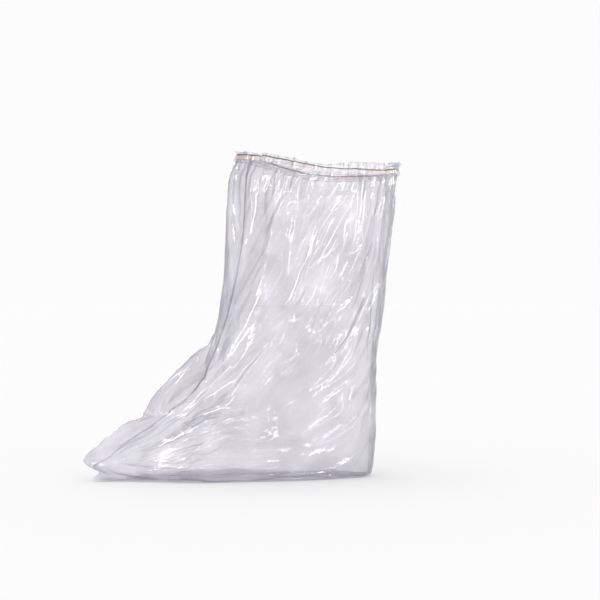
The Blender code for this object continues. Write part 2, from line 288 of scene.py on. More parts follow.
def half_ring(front, back, heel_share, weld_share=None):
    """One panel's line from the front to the back or the middle of the sole, as (x, y, z) points."""
    line = half_line(front, back)
    on_sole = back[1] < LEAST_RISE
    if on_sole and line[-1, 0] > NARROW_SOLE:
        corner = line[-1]
        middle = corner * (0, 1, 1)
        across = corner + np.linspace(0, 1, SOLE_POINTS + 1)[1:, None] * (middle - corner)
        return np.concatenate([along(line, spread(1, weld_share)), across])
    line[-1, 0] = 0
    panel = RING_POINTS // 2 - SOLE_POINTS
    even = panel / (panel + SOLE_POINTS)
    above = SHARE_ABOVE_END if on_sole and back[0] < 0 else even + (SHARE_ABOVE_HEEL - even) * heel_share
    shares = np.concatenate([spread(above, weld_share), np.linspace(above, 1, SOLE_POINTS + 1)[1:]])
    return along(line, shares)


def ring_stations():
    """The front and back places of each ring, from the cuff to the toe."""
    fronts, backs = outlines()
    rows = []
    start = BAG_START
    for front_at, back_at, count in STATIONS:
        for i in range(1, count + 1):
            share = i / count
            front = start[0] + (front_at - start[0]) * share
            back = start[1] + (back_at - start[1]) * share
            rows.append((place_on(fronts, front), place_on(backs, back), back))
        start = (front_at, back_at)
    return rows


def weld_shares(rows):
    """Each ring's share of its panel's line at the weld, even at the cuff and then where its path crosses."""
    path = along(np.array(WELD_PATH) * (TOE_REACH, CUFF_HEIGHT), np.linspace(0, 1, WELD_PATH_SAMPLES))
    even = WELD_POINTS / (RING_POINTS // 2)
    found = [(0, even), (WELD_EVEN_RINGS, even)]
    for number, (front, back, _) in enumerate(rows):
        way = (back - front) / np.linalg.norm(back - front)
        side = (path - front) @ (-way[1], way[0])
        crossing = np.nonzero(side[:-1] * side[1:] <= 0)[0]
        if number > 2 * WELD_EVEN_RINGS and len(crossing):
            line = half_line(front, back)
            depth = (path[crossing[0]] - front) @ way
            at = lengths(line)
            found.append((number, np.interp(depth, (line[:, 1:] - front) @ way, at) / at[-1]))
    numbers, shares = zip(*found)
    shares = np.interp(np.arange(len(rows)), numbers, shares)
    window = 2 * WELD_EVENING + 1
    padded = np.pad(shares, WELD_EVENING, mode="edge")
    return np.convolve(padded, np.ones(window) / window, mode="valid")


def fold_offsets(y, z, side):
    """How far the folds push a side panel outwards at places in the side view."""
    place = np.stack([y, z], axis=-1)
    offset = np.zeros(y.shape)
    for start_y, start_z, end_y, end_z, rise, reach, fold_side in FOLDS:
        start = np.array((start_y * TOE_REACH, start_z * CUFF_HEIGHT))
        line = np.array((end_y * TOE_REACH, end_z * CUFF_HEIGHT)) - start
        share = np.clip((place - start) @ line / (line @ line), 0, 1)
        distance = np.linalg.norm(place - start - share[..., None] * line, axis=-1)
        crown = np.clip(1 - np.hypot(distance, CREST_RADIUS) / (reach * FOLD_REACH), 0, 1) ** CREST_FALL
        ends = np.sqrt(np.sin(np.pi * (FOLD_END + (1 - 2 * FOLD_END) * share)))
        height = rise * FOLD_RISE * crown * ends
        offset += np.where(side == fold_side, height, 0)
    return offset


def grid_normals(points):
    """The outward normal at each point of a grid of rings."""
    around = np.roll(points, -1, axis=1) - np.roll(points, 1, axis=1)
    down = np.gradient(points, axis=0)
    normal = np.cross(around, down)
    return normal / np.maximum(np.linalg.norm(normal, axis=-1, keepdims=True), LEAST_AREA)


def eased(share):
    """A share from 0 to 1 that starts and ends slowly."""
    share = np.clip(share, 0, 1)
    return share * share * (3 - 2 * share)


def leg_depth(points):
    """How far back each point lies, from 0 at the leg's front to 1 at its back."""
    return (points[..., 1] + LEG_FRONT) / (LEG_BACK + LEG_FRONT)


def stepped(row, at):
    """A row's distance, which comes in slowly from its start over its span."""
    distance, start, span = row
    return distance * eased((at - start) / span)


def tilted(points):
    """The points lowered towards the back, the more the nearer they are to the cuff."""
    rise = np.clip((points[..., 2] - INSTEP_HEIGHT) / (CUFF_HEIGHT - INSTEP_HEIGHT), 0, 1)
    depth = leg_depth(points)
    lowered = points.copy()
    lowered[..., 2] -= rise * rise * (stepped(CUFF_DROP, depth) - stepped(BACK_LIFT, depth))
    return lowered


def film_grid():
    """The film's middle surface as rings of points, from the cuff to the toe, before it is loosened."""
    rings = []
    rows = ring_stations()
    for (front, back, back_at), weld_share in zip(rows, weld_shares(rows)):
        heel_share = min(max((back_at - 0.5) / 0.5, 0), 1)
        right = half_ring(front, back, heel_share, weld_share)
        left = right[-2:0:-1] * (-1, 1, 1)
        rings.append(np.concatenate([right, left]))
    points = np.array(rings)
    side = np.where(points[..., 0] > 0, 1, -1)
    fade = np.clip(np.abs(points[..., 0]) / FOLD_REACH, 0, 1)
    offset = side * fade * fold_offsets(points[..., 1], points[..., 2], side)
    points[..., 0] += np.where(points[..., 2] > LEAST_RISE, offset, 0)
    return points


def mesh_from_grid(name, points, closed=False):
    """A mesh of rows of points, each row joined to the next, and its ends to each other if it is closed."""
    rows, count = points.shape[:2]
    index = np.arange(rows * count).reshape(rows, count)
    after = np.roll(index, -1, axis=1)
    faces = np.stack([index[:-1], index[1:], after[1:], after[:-1]], axis=-1)
    if not closed:
        faces = faces[:, :-1]
    mesh = bpy.data.meshes.new(name)
    mesh.from_pydata(points.reshape(-1, 3).tolist(), [], faces.reshape(-1, 4).tolist())
    mesh.update()
    return mesh


def shown(name, mesh, *materials):
    """An object of the scene with this mesh, smooth, in the given materials."""
    mesh.shade_smooth()
    for material in materials:
        mesh.materials.append(material)
    piece = bpy.data.objects.new(name, mesh)
    bpy.context.scene.collection.objects.link(piece)
    return piece


# How the film is loosened. A slack row: its middle in the side view, its reach as a share of CUFF_HEIGHT,
# the direction in degrees along which the film is cut longer than it lies, and by how much.
# SLACK_EVERYWHERE is the share of that beyond its reach.
SLACKS = (
    (0.35, 0.62, 0.30, 28, 0.075),
    (0.30, 0.30, 0.22, 35, 0.070),
    (-0.30, 0.25, 0.22, 60, 0.060),
    (-0.15, 0.70, 0.18, 5, 0.060),
)
SLACK_EVERYWHERE = 0.4
EVEN_SLACK = 0.040
CUFF_SLACK = 0.12
CUFF_SLACK_REACH = 0.050
LEG_MIDDLE = 0.060

# Gathers at the cuff, which fade downwards over lengths between these two, and finer ones between them
GATHERS = 36
GATHER_DEPTH = 0.0020
GATHER_FADES = (0.014, 0.065)
FINE_GATHERS = 79
FINE_GATHER_SHARE = 0.5
FINE_FADE_SHARE = 0.5

# How uneven the gathers are: times round the cuff, amount and start. The drifts move them along, and the
# swell makes them deeper and shallower.
GATHER_DRIFTS = ((5, 1.1, 1.0), (11, 0.7, 2.2))
GATHER_SWELL = (7, 0.25, 0.4)
FINE_DRIFT = (9, 1.6)

# Noise: the size of its table of random values, and what brings it to about -1 to 1
NOISE_TABLE = 256
NOISE_GAIN = 1.5

# Noise round the cuff: the changes on the way round, the row of the noise, and the seed
GATHER_FADE_NOISE = (40, 0.5, 21)
WOBBLE_NOISE = (34, 0.4, 44)
FRILL_TOP_NOISE = (90, 0.3, 43)

# Creases of the film: a row has the spacing across and along, the height, and the seed
CREASES = (
    (0.030, 0.160, 0.0016, 11),
    (0.015, 0.080, 0.0009, 12),
    (0.007, 0.040, 0.0004, 13),
)
CREASE_SLANT = 0.45
FAR_SIDE_OFFSET = 1.7
CREASE_SHARPNESS = 0.04
CREASE_LEAST = 0.35
CREASE_BEND = 0.35
BEND_SIZE = 0.06
BEND_SEED = 100
PATCH_SEED = 200

# A row of patches: their size across and down, how much they cover and how sharply they end, and the seed
CREASE_PATCHES = (0.05, 0.07, 0.55, 0.9)
WEB_PATCHES = (0.06, 0.05, 0.2, 1.4, 32)
SOLE_PATCHES = (0.04, 0.05, 0.5, 1.0, 64)

# A web of short creases round cells: the spacing, the stretch downwards, how far in a cell slopes, the seed
FINE_WEB = (0.0085, 1.6, 0.6, 31)
CLUSTER_WEB = (0.0120, 1.7, 0.7, 33)
WEB_HEIGHT = 0.0007
CLUSTER_HEIGHT = 0.0019

# Near the front outline the creases are lower by this share, up to this share of a ring's depth
FRONT_CALM = 0.55
FRONT_CALM_REACH = 0.34

# A sharp fold: where it starts, bends and ends in the side view, its rise and reach in metres, and its side
SHARP_FOLDS = (
    (-0.56, 0.165, -0.70, 0.106, -0.90, 0.045, -0.0032, 0.0060, 1),
    (-0.50, 0.120, -0.68, 0.082, -0.86, 0.055, 0.0022, 0.0075, 1),
    (-0.30, 0.270, -0.42, 0.190, -0.60, 0.115, 0.0020, 0.0060, 1),
    (0.30, 0.620, 0.24, 0.545, 0.13, 0.480, 0.0024, 0.0050, 1),
    (0.52, 0.640, 0.42, 0.580, 0.30, 0.470, 0.0024, 0.0055, 1),
    (0.42, 0.760, 0.40, 0.680, 0.34, 0.600, 0.0020, 0.0050, 1),
    (-0.50, 0.170, -0.66, 0.110, -0.88, 0.060, -0.0028, 0.0060, -1),
    (0.35, 0.640, 0.25, 0.550, 0.10, 0.470, 0.0024, 0.0055, -1),
)
SHARP_FOLD_FALL = 1.4
SHARP_FOLD_END = 0.06
WANDER = 0.0022
WANDER_SIZE = 0.025
WANDER_SEED = 71

# A crumpled cluster: its middle and reach in the side view, its height as a share of CLUSTER_HEIGHT, and its
# side
CLUSTERS = (
    (0.38, 0.46, 0.13, 0.14, 1.40, 1),
    (0.22, 0.87, 0.13, 0.07, 0.80, 1),
    (0.52, 0.78, 0.09, 0.12, 0.60, 1),
    (0.02, 0.40, 0.10, 0.06, 0.60, 1),
    (-0.34, 0.13, 0.14, 0.05, 0.50, 1),
    (0.38, 0.50, 0.14, 0.14, 1.00, -1),
    (0.18, 0.84, 0.13, 0.08, 0.80, -1),
    (-0.20, 0.16, 0.14, 0.06, 0.70, -1),
)

# The film under the foot is creased up from the floor, in long creases that bend and a web of short ones.
# A row has the spacing across and along, the share, and the seed.
SOLE_LIFT = 0.0017
SOLE_LONG = (0.016, 0.070, 0.9, 61)
SOLE_BEND = (0.05, 0.05, 0.4, 62)
SOLE_SHORT = (0.013, 0.019, 0.7, 63)
SOLE_SLOPE = 0.7
SOLE_EDGE_FROM = 0.001
SOLE_EDGE_SPAN = 0.006

# Over the toe the creases are lower by this share, from and by these distances in front of the origin
TOE_CALM_FROM = 0.060
TOE_CALM_BY = 0.140
TOE_CALM = 0.80

# The toe's bend: where it starts, how far its end goes, and how much less its upper part does
TOE_BEND_FROM = 0.110
TOE_BEND = 0.024
TOE_BEND_TOP = 0.5

# The toe's end seen from the side: where its notch starts, how deep it is and how far the flap under it
# sticks out, and the heights and reaches of both as shares of WELD_HEIGHT
TOE_NOTCH_FROM = 0.160
TOE_NOTCH = 0.010
TOE_FLAP = 0.004
TOE_NOTCH_AT = 0.42
TOE_NOTCH_REACH = 0.24
TOE_FLAP_AT = 0.08
TOE_FLAP_REACH = 0.12

# The creases fade out this near to the welds
WELD_CALM = 0.006

# How strong the creases are before the film settles, and then on the finer mesh
COARSE_CREASES = 0.5
FINE_CREASES = 0.8

# The simulation: the cloth's values, and how firmly its parts keep their places
CLOTH = dict(
    quality=6,
    mass=0.05,
    tension_stiffness=40,
    compression_stiffness=40,
    shear_stiffness=20,
    bending_stiffness=0.02,
    tension_damping=5,
    compression_damping=5,
    shear_damping=5,
    bending_damping=0.5,
    air_damping=2,
    pin_stiffness=1,
)
GRAVITY_SHARE = 0.2
SETTLING_FRAMES = 22
LOOSE_HOLD = 0.02
EDGE_HOLD = 0.5
SOLE_HOLD = 0.7
EDGE_COLUMNS = 3
HELD_RINGS = 2
ON_FLOOR = 0.0001
MOST_MOVE = 0.012
LEAST_MOVE = 1e-9


def smooth_noise(u, v, seed):
    """Smooth noise over two coordinates, from about -1 to 1."""
    table = np.random.default_rng(seed)
    order = table.permutation(NOISE_TABLE)
    angles = table.random(NOISE_TABLE) * 2 * np.pi
    col, row = np.floor(u).astype(int), np.floor(v).astype(int)
    part_u, part_v = u - col, v - row
    corners = []
    for step_u in (0, 1):
        for step_v in (0, 1):
            angle = angles[order[(order[(col + step_u) % NOISE_TABLE] + row + step_v) % NOISE_TABLE]]
            corners.append((part_u - step_u) * np.cos(angle) + (part_v - step_v) * np.sin(angle))
    ease_u, ease_v = eased(part_u), eased(part_v)
    low = corners[0] + (corners[1] - corners[0]) * ease_v
    high = corners[2] + (corners[3] - corners[2]) * ease_v
    return NOISE_GAIN * (low + (high - low) * ease_u)


def cell_noise(u, v, seed):
    """The gap between the nearest and the next cell point: 0 on a web of sharp lines, higher between."""
    table = np.random.default_rng(seed)
    order = table.permutation(NOISE_TABLE)
    jitter = table.random((NOISE_TABLE, 2))
    col, row = np.floor(u).astype(int), np.floor(v).astype(int)
    distances = []
    for step_u in (-1, 0, 1):
        for step_v in (-1, 0, 1):
            spot = jitter[order[(order[(col + step_u) % NOISE_TABLE] + row + step_v) % NOISE_TABLE]]
            distances.append(np.hypot(col + step_u + spot[..., 0] - u, row + step_v + spot[..., 1] - v))
    nearest = np.partition(np.array(distances), 1, axis=0)
    return nearest[1] - nearest[0]


def ring_noise(share, changes, row, seed):
    """Smooth noise round a ring, with about this many changes on the way."""
    return smooth_noise(changes * share, np.full_like(share, row), seed)


def patches(u, v, size_u, size_v, cover, contrast, seed):
    """A share from 0 to 1 that comes and goes in patches."""
    return eased(cover + contrast * smooth_noise(u / size_u, v / size_v, seed))


def gather_wave(share):
    """The gathers' wave round the cuff, from -1 to 1, uneven as pulled film is."""
    turn = 2 * np.pi * share
    drift = sum(amount * np.sin(times * turn + start) for times, amount, start in GATHER_DRIFTS)
    times, amount, start = GATHER_SWELL
    return np.sin(GATHERS * turn + drift) * (1 - amount + amount * np.sin(times * turn + start))


def fine_gather_wave(share):
    """The wave of the finer gathers round the cuff."""
    turn = 2 * np.pi * share
    times, amount = FINE_DRIFT
    return FINE_GATHER_SHARE * np.sin(FINE_GATHERS * turn + amount * np.sin(times * turn))


def gathered(points, finer):
    """The points with the gathers below the cuff, coarse ones or finer ones."""
    share = np.arange(points.shape[1]) / points.shape[1]
    length = 0.5 + 0.5 * ring_noise(share, *GATHER_FADE_NOISE)
    fade = GATHER_FADES[0] + (GATHER_FADES[1] - GATHER_FADES[0]) * np.clip(length, 0, 1) ** 2
    fade *= FINE_FADE_SHARE if finer else 1
    wave = fine_gather_wave(share) if finer else gather_wave(share)
    depth = GATHER_DEPTH * np.exp((points[..., 2] - CUFF_HEIGHT) / fade)
    return points + grid_normals(points) * (depth * wave)[..., None]


def weld_column(points):
    """The number of the column of the grid that the weld follows."""
    return WELD_POINTS * points.shape[1] // RING_POINTS


def panel_places(ring):
    """Each point's place on its panel: across, slanted as the creases are, and down, and the welds' calm."""
    count = ring.shape[1]
    steps = np.linalg.norm(np.roll(ring, -1, axis=1) - ring, axis=-1)
    round_it = np.concatenate([0 * steps[:, :1], np.cumsum(steps, axis=1)[:, :-1]], axis=1)
    girth = steps.sum(axis=1, keepdims=True)
    far_side = np.arange(count) >= count // 2
    across = np.where(far_side, girth - round_it, round_it)
    drops = np.linalg.norm(np.diff(ring, axis=0), axis=-1)
    down = np.concatenate([0 * steps[:1], np.cumsum(drops, axis=0)])
    slanted = across + CREASE_SLANT * down + FAR_SIDE_OFFSET * far_side
    calm = eased(across / WELD_CALM) * eased(np.abs(round_it - girth / 2) / WELD_CALM)
    return slanted, down, calm


def long_creases(slanted, down):
    """How far the long sharp creases stand out."""
    height = np.zeros(slanted.shape)
    for wide, long, rise, seed in CREASES:
        bend = CREASE_BEND * smooth_noise(slanted / BEND_SIZE, down / BEND_SIZE, seed + BEND_SEED)
        noise = smooth_noise(slanted / wide + bend, down / long, seed)
        ridge = 1 - np.hypot(noise, CREASE_SHARPNESS) * 2
        patch = patches(slanted, down, *CREASE_PATCHES, seed + PATCH_SEED)
        height += rise * ridge * (CREASE_LEAST + (1 - CREASE_LEAST) * patch)
    return height


def front_calm(ring):
    """How much of the creases is left near the front outline, from less to all of them."""
    front, back = ring[..., 1].min(axis=1, keepdims=True), ring[..., 1].max(axis=1, keepdims=True)
    return 1 - FRONT_CALM * (1 - eased((ring[..., 1] - front) / (back - front) / FRONT_CALM_REACH))


def web(slanted, down, spacing, stretch, slope, seed):
    """A web of sharp lines at 0, with flat-topped cells between them."""
    return np.minimum(cell_noise(slanted / spacing, down / (stretch * spacing), seed), slope)


def crumpled(height, ring, slanted, down):
    """The height with the crumpled clusters pressed in."""
    cells = web(slanted, down, *CLUSTER_WEB)
    for at_y, at_z, reach_y, reach_z, rise, side in CLUSTERS:
        off_y = (ring[..., 1] / TOE_REACH - at_y) / reach_y
        off_z = (ring[..., 2] / CUFF_HEIGHT - at_z) / reach_z
        spot = np.exp(-(off_y ** 2 + off_z ** 2)) * (ring[..., 0] * side > 0)
        height = height - rise * CLUSTER_HEIGHT * cells * spot
    return height


def fine_web(slanted, down):
    """How far the fine web of short creases is pressed in."""
    return WEB_HEIGHT * web(slanted, down, *FINE_WEB) * patches(slanted, down, *WEB_PATCHES)


def creased(points, strength):
    """The points with all the creases: long ones, clusters, the fine web, sharp folds and the sole's."""
    ring = np.roll(points, -weld_column(points), axis=1)
    slanted, down, calm = panel_places(ring)
    height = long_creases(slanted, down) * front_calm(ring)
    height = crumpled(height, ring, slanted, down) - fine_web(slanted, down)
    near_toe = eased((-ring[..., 1] - TOE_CALM_FROM) / (TOE_CALM_BY - TOE_CALM_FROM))
    off_sole = eased((ring[..., 2] - SOLE_EDGE_FROM) / SOLE_EDGE_SPAN)
    height = height * (1 - TOE_CALM * near_toe) + sharp_folds(ring)
    height *= strength * calm * off_sole
    moved = ring + grid_normals(ring) * height[..., None]
    moved[..., 2] += strength * (1 - off_sole) * sole_lift(ring)
    return np.roll(moved, weld_column(points), axis=1)


def sharp_folds(points):
    """How far the sharp folds stand out at each point."""
    y, z = points[..., 1], points[..., 2]
    out = np.zeros(y.shape)
    wander = WANDER * smooth_noise(y / WANDER_SIZE, z / WANDER_SIZE, WANDER_SEED)
    for *path, rise, reach, side in SHARP_FOLDS:
        corners = np.array(path).reshape(3, 2) * (TOE_REACH, CUFF_HEIGHT)
        height = np.zeros(y.shape)
        for number in (0, 1):
            start = corners[number]
            line = corners[number + 1] - start
            at = np.stack([y + wander, z + wander], axis=-1) - start
            share = np.clip(at @ line / (line @ line), 0, 1)
            distance = np.linalg.norm(at - share[..., None] * line, axis=-1)
            ends = np.sin(np.pi * (SHARP_FOLD_END + (1 - 2 * SHARP_FOLD_END) * (number + share) / 2))
            height = np.maximum(height, np.clip(1 - distance / reach, 0, 1) ** SHARP_FOLD_FALL * ends)
        out += rise * height * (points[..., 0] * side > 0)
    return out


def sole_lift(points):
    """How far the film under the foot is creased up from the floor."""
    x, y = points[..., 0], points[..., 1]
    wide, long, share, seed = SOLE_BEND
    bend = share * smooth_noise(x / wide, y / long, seed)
    wide, long, share, seed = SOLE_LONG
    ridge = np.abs(smooth_noise(x / wide + bend, y / long, seed))
    lift = share * (1 - 2 * np.minimum(ridge, 0.5))
    wide, long, share, seed = SOLE_SHORT
    cells = np.minimum(cell_noise(x / wide, y / long, seed), SOLE_SLOPE)
    return SOLE_LIFT * (lift + share * cells * patches(x, y, *SOLE_PATCHES))


def bent_toe(points):
    """The points with the toe's end bent to one side, most at the floor, and notched in the side view."""
    share = eased((-points[..., 1] - TOE_BEND_FROM) / (TOE_REACH - TOE_BEND_FROM))
    low = 1 - TOE_BEND_TOP * np.clip(points[..., 2] / (2 * WELD_HEIGHT), 0, 1)
    bent = points.copy()
    bent[..., 0] += TOE_BEND * share * low
    end = eased((-points[..., 1] - TOE_NOTCH_FROM) / (TOE_REACH - TOE_NOTCH_FROM))
    height = points[..., 2] / WELD_HEIGHT
    notch = TOE_NOTCH * np.exp(-((height - TOE_NOTCH_AT) / TOE_NOTCH_REACH) ** 2)
    flap = TOE_FLAP * np.exp(-((height - TOE_FLAP_AT) / TOE_FLAP_REACH) ** 2)
    bent[..., 1] += end * (notch - flap)
    return bent


def loosened(points):
    """Where the film's points would lie if it were spread to the size that it is cut to."""
    y, z = points[..., 1], points[..., 2]
    cut = points * (1 + EVEN_SLACK)
    wider = CUFF_SLACK * np.exp((z - CUFF_HEIGHT) / CUFF_SLACK_REACH)
    cut[..., 0] += wider * points[..., 0]
    cut[..., 1] += wider * (y - LEG_MIDDLE)
    for at_y, at_z, reach, degrees, amount in SLACKS:
        middle = np.array((at_y * TOE_REACH, at_z * CUFF_HEIGHT))
        way = np.array((math.cos(math.radians(degrees)), math.sin(math.radians(degrees))))
        offset = np.stack([y, z], axis=-1) - middle
        reach_m = reach * CUFF_HEIGHT
        fade = np.exp(-0.5 * (np.linalg.norm(offset, axis=-1) / reach_m) ** 2)
        share = SLACK_EVERYWHERE + (1 - SLACK_EVERYWHERE) * fade
        grown = amount * reach_m * np.tanh(offset @ way / reach_m) * share
        cut[..., 1] += grown * way[0]
        cut[..., 2] += grown * way[1]
    return cut


def holds(points):
    """How firmly each point of the film keeps its place: the cuff and toe fully, the loose panels hardly."""
    rows, count = points.shape[:2]
    j = np.arange(count)
    from_weld = np.minimum(np.minimum(j, count - j), np.abs(j - count // 2))
    held = np.full((rows, count), LOOSE_HOLD)
    held = np.maximum(held, EDGE_HOLD * np.clip(1 - from_weld / EDGE_COLUMNS, 0, 1))
    held = np.where(points[..., 2] < ON_FLOOR, SOLE_HOLD, held)
    held[:HELD_RINGS] = 1
    held[-HELD_RINGS:] = 1
    return held


def settled(points):
    """The film's points after a cloth simulation has let the loose film crease."""
    film = shown("film_settling", mesh_from_grid("film_settling", points, closed=True))
    film.shape_key_add(name="Basis")
    cut = film.shape_key_add(name="Cut")
    cut.data.foreach_set("co", loosened(points).ravel())
    cut.value = 0
    group = film.vertex_groups.new(name="Held")
    for index, weight in enumerate(holds(points).ravel()):
        group.add([index], float(weight), "REPLACE")
    cloth = film.modifiers.new("Cloth", "CLOTH")
    cloth.settings.vertex_group_mass = "Held"
    cloth.settings.rest_shape_key = cut
    for name, value in CLOTH.items():
        setattr(cloth.settings, name, value)
    cloth.settings.effector_weights.gravity = GRAVITY_SHARE
    cloth.collision_settings.use_collision = False
    for number in range(1, SETTLING_FRAMES + 1):
        bpy.context.scene.frame_set(number)
    evaluated = film.evaluated_get(bpy.context.evaluated_depsgraph_get())
    result = np.empty(points.size)
    evaluated.data.vertices.foreach_get("co", result)
    bpy.context.scene.frame_set(1)
    bpy.data.objects.remove(film)
    move = result.reshape(points.shape) - points
    far = np.linalg.norm(move, axis=-1, keepdims=True)
    return points + move * MOST_MOVE * np.tanh(far / MOST_MOVE) / np.maximum(far, LEAST_MOVE)


def halved(grid, closed):
    """The rows of a grid with one more between each two, on smooth curves through four rows at a time."""
    before, after = np.roll(grid, 1, axis=0), np.roll(grid, -1, axis=0)
    far = np.roll(grid, -2, axis=0)
    if not closed:
        before[0], after[-1], far[-1], far[-2] = grid[0], grid[-1], grid[-1], grid[-1]
    middle = (9 * (grid + after) - before - far) / 16
    finer = np.stack([grid, middle], axis=1).reshape(-1, *grid.shape[1:])
    return finer if closed else finer[:-1]


def smoothed(points):
    """The film's grid once more as fine, with its new points on smooth curves through the old ones."""
    down = halved(points, closed=False)
    return np.swapaxes(halved(np.swapaxes(down, 0, 1), closed=True), 0, 1)


def film_surface():
    """The film's final points: gathered and creased, settled, and then the same again twice as fine."""
    points = creased(gathered(bent_toe(film_grid()), finer=False), COARSE_CREASES)
    points = settled(points)
    return creased(gathered(smoothed(points), finer=True), FINE_CREASES)


# The film's looks: the light that it passes face on and at a slant, and the colour of its veil
CLEAR_FILM = ((0.695, 0.687, 0.710, 1), (0.17, 0.166, 0.20, 1), (0.060, 0.058, 0.063, 1))
DOUBLED_FILM = ((0.62, 0.61, 0.64, 1), (0.18, 0.176, 0.21, 1), (0.070, 0.069, 0.075, 1))
HEM_FILM = ((0.82, 0.812, 0.83, 1), (0.36, 0.355, 0.38, 1), (0.040, 0.039, 0.042, 1))
THIN_VEIL = 0.6
THICK_VEIL = 2.6

# The elastic's two colours, and the two colours of a painted shadow along its top, standing in for the shade
# under the hem's rim
WOVEN_ELASTIC = ((0.67, 0.54, 0.46, 1), (0.72, 0.70, 0.71, 1))
PAINTED_SHADOW_LINE = ((0.05, 0.032, 0.024, 1), (0.10, 0.075, 0.06, 1))


def add_node(owner, kind, **values):
    """A node of a material or world with its inputs set by name."""
    node = owner.node_tree.nodes.new(kind)
    for name, value in values.items():
        node.inputs[name.replace("_", " ")].default_value = value
    return node


def add_ramp(owner, start, start_color, end, end_color):
    """A colour ramp between two places."""
    node = add_node(owner, "ShaderNodeValToRGB")
    low, high = node.color_ramp.elements
    low.position = start
    low.color = start_color
    high.position = end
    high.color = end_color
    return node


def add_step(owner, start, end, low=0.0, high=1.0):
    """A smooth step from one value to another."""
    node = add_node(owner, "ShaderNodeMapRange", From_Min=start, From_Max=end, To_Min=low, To_Max=high)
    node.interpolation_type = "SMOOTHSTEP"
    return node


def joined(owner, *links):
    """Joins outputs to inputs, each link as (node, output, node, input)."""
    for source, output, target, socket in links:
        owner.node_tree.links.new(source.outputs[output], target.inputs[socket])


def new_material(name):
    """A material with its node tree, and its Principled node and its output node."""
    material = bpy.data.materials.new(name)
    material.use_nodes = True
    nodes = material.node_tree.nodes
    return material, nodes["Principled BSDF"], nodes["Material Output"]


def shaded(color, share):
    """A colour made lighter or darker by a share."""
    return (*(share * part for part in color[:3]), 1)


def film_material(name, clear, slant_clear, haze):
    """Thin clear glossy film: it passes most light face on and less at a slant, with a faint cloudy veil."""
    material, shader, output = new_material(name)
    shader.inputs["Roughness"].default_value = 0.08
    shader.inputs["IOR"].default_value = 1.5
    shader.inputs["Specular IOR Level"].default_value = 0.9
    through = add_node(material, "ShaderNodeBsdfTransparent")
    slant = add_node(material, "ShaderNodeLayerWeight", Blend=0.5)
    tint = add_ramp(material, 0.24, clear, 0.95, slant_clear)
    both = add_node(material, "ShaderNodeAddShader")
    place = add_node(material, "ShaderNodeTexCoord")
    crinkle = add_node(material, "ShaderNodeTexNoise", Scale=170, Detail=4)
    bump = add_node(material, "ShaderNodeBump", Strength=0.35, Distance=0.0008)
    cloud = add_node(material, "ShaderNodeTexNoise", Scale=22, Detail=5, Distortion=0.6)
    veil = add_ramp(material, 0.40, shaded(haze, THIN_VEIL), 0.72, shaded(haze, THICK_VEIL))
    joined(
        material,
        (place, "Object", crinkle, "Vector"),
        (place, "Object", cloud, "Vector"),
        (cloud, "Fac", veil, "Fac"),
        (veil, "Color", shader, "Base Color"),
        (crinkle, "Fac", bump, "Height"),
        (bump, "Normal", shader, "Normal"),
        (slant, "Facing", tint, "Fac"),
        (tint, "Color", through, "Color"),
        (through, "BSDF", both, 0),
        (shader, "BSDF", both, 1),
        (both, "Shader", output, "Surface"),
    )
    return material


def elastic_material(name, color, other):
    """Woven elastic with fine ribs across it, seen more and less clearly through the film."""
    material, shader, _ = new_material(name)
    shader.inputs["Roughness"].default_value = 0.75
    place = add_node(material, "ShaderNodeTexCoord")
    patch = add_node(material, "ShaderNodeTexNoise", Scale=32, Detail=2)
    colors = add_ramp(material, 0.40, color, 0.54, other)
    stretch = add_node(material, "ShaderNodeMapping", Scale=(1, 1, 0.06))
    ribs = add_node(material, "ShaderNodeTexNoise", Scale=1100, Detail=1)
    bump = add_node(material, "ShaderNodeBump", Strength=0.6, Distance=0.0004)
    joined(
        material,
        (place, "Object", patch, "Vector"),
        (patch, "Fac", colors, "Fac"),
        (colors, "Color", shader, "Base Color"),
        (place, "Object", stretch, "Vector"),
        (stretch, "Vector", ribs, "Vector"),
        (ribs, "Fac", bump, "Height"),
        (bump, "Normal", shader, "Normal"),
    )
    return material


# The hem, from its weld below the elastic, up outside, over the frill and down inside: rise above the
# cuff line, offset from the film outwards, and depth of the gathers, all in metres. Rises above the frill's
# foot are shortened at the front.
HEM_ROWS = (
    (-0.0086, 0.0002, 0.0013),
    (-0.0078, 0.0007, 0.0014),
    (-0.0066, 0.0010, 0.0014),
    (-0.0048, 0.0011, 0.0014),
    (-0.0025, 0.0011, 0.0014),
    (-0.0008, 0.0012, 0.0013),
    (0.0006, 0.0008, 0.0011),
    (0.0014, 0.0004, 0.0010),
    (0.0024, 0.0006, 0.0014),
    (0.0040, 0.0008, 0.0020),
    (0.0056, 0.0008, 0.0027),
    (0.0068, 0.0006, 0.0032),
    (0.0073, 0.0000, 0.0034),
    (0.0068, -0.0006, 0.0032),
    (0.0050, -0.0009, 0.0024),
    (0.0024, -0.0012, 0.0014),
    (0.0010, -0.0014, 0.0010),
    (-0.0010, -0.0018, 0.0012),
    (-0.0040, -0.0019, 0.0013),
    (-0.0066, -0.0016, 0.0012),
    (-0.0084, -0.0009, 0.0011),
)
HEM_POINTS = 900
FRILL_FOOT = 0.001
FRONT_FRILL = 0.28
FRILL_CRINKLE = 0.0012
CUFF_WOBBLE = 0.0009
HEM_SCALLOP = 0.0010
SCALLOP_FROM = 0.0055
SCALLOP_SPAN = 0.003

# The frill is lower at the front, and from there comes up to its full height from and over these shares of
# the leg's depth. Its crinkles and its uneven top come in over FRILL_FADE. A crinkle row has the changes on
# the way round, how fast they change with the rise, the seed and the share.
FRILL_BACK = (1, 0.50, 0.22)
FRILL_FADE = 0.003
FRILL_TOP = 0.0010
CRINKLES = (
    (150, 90, 41, 1.0),
    (330, 150, 42, 0.5),
)
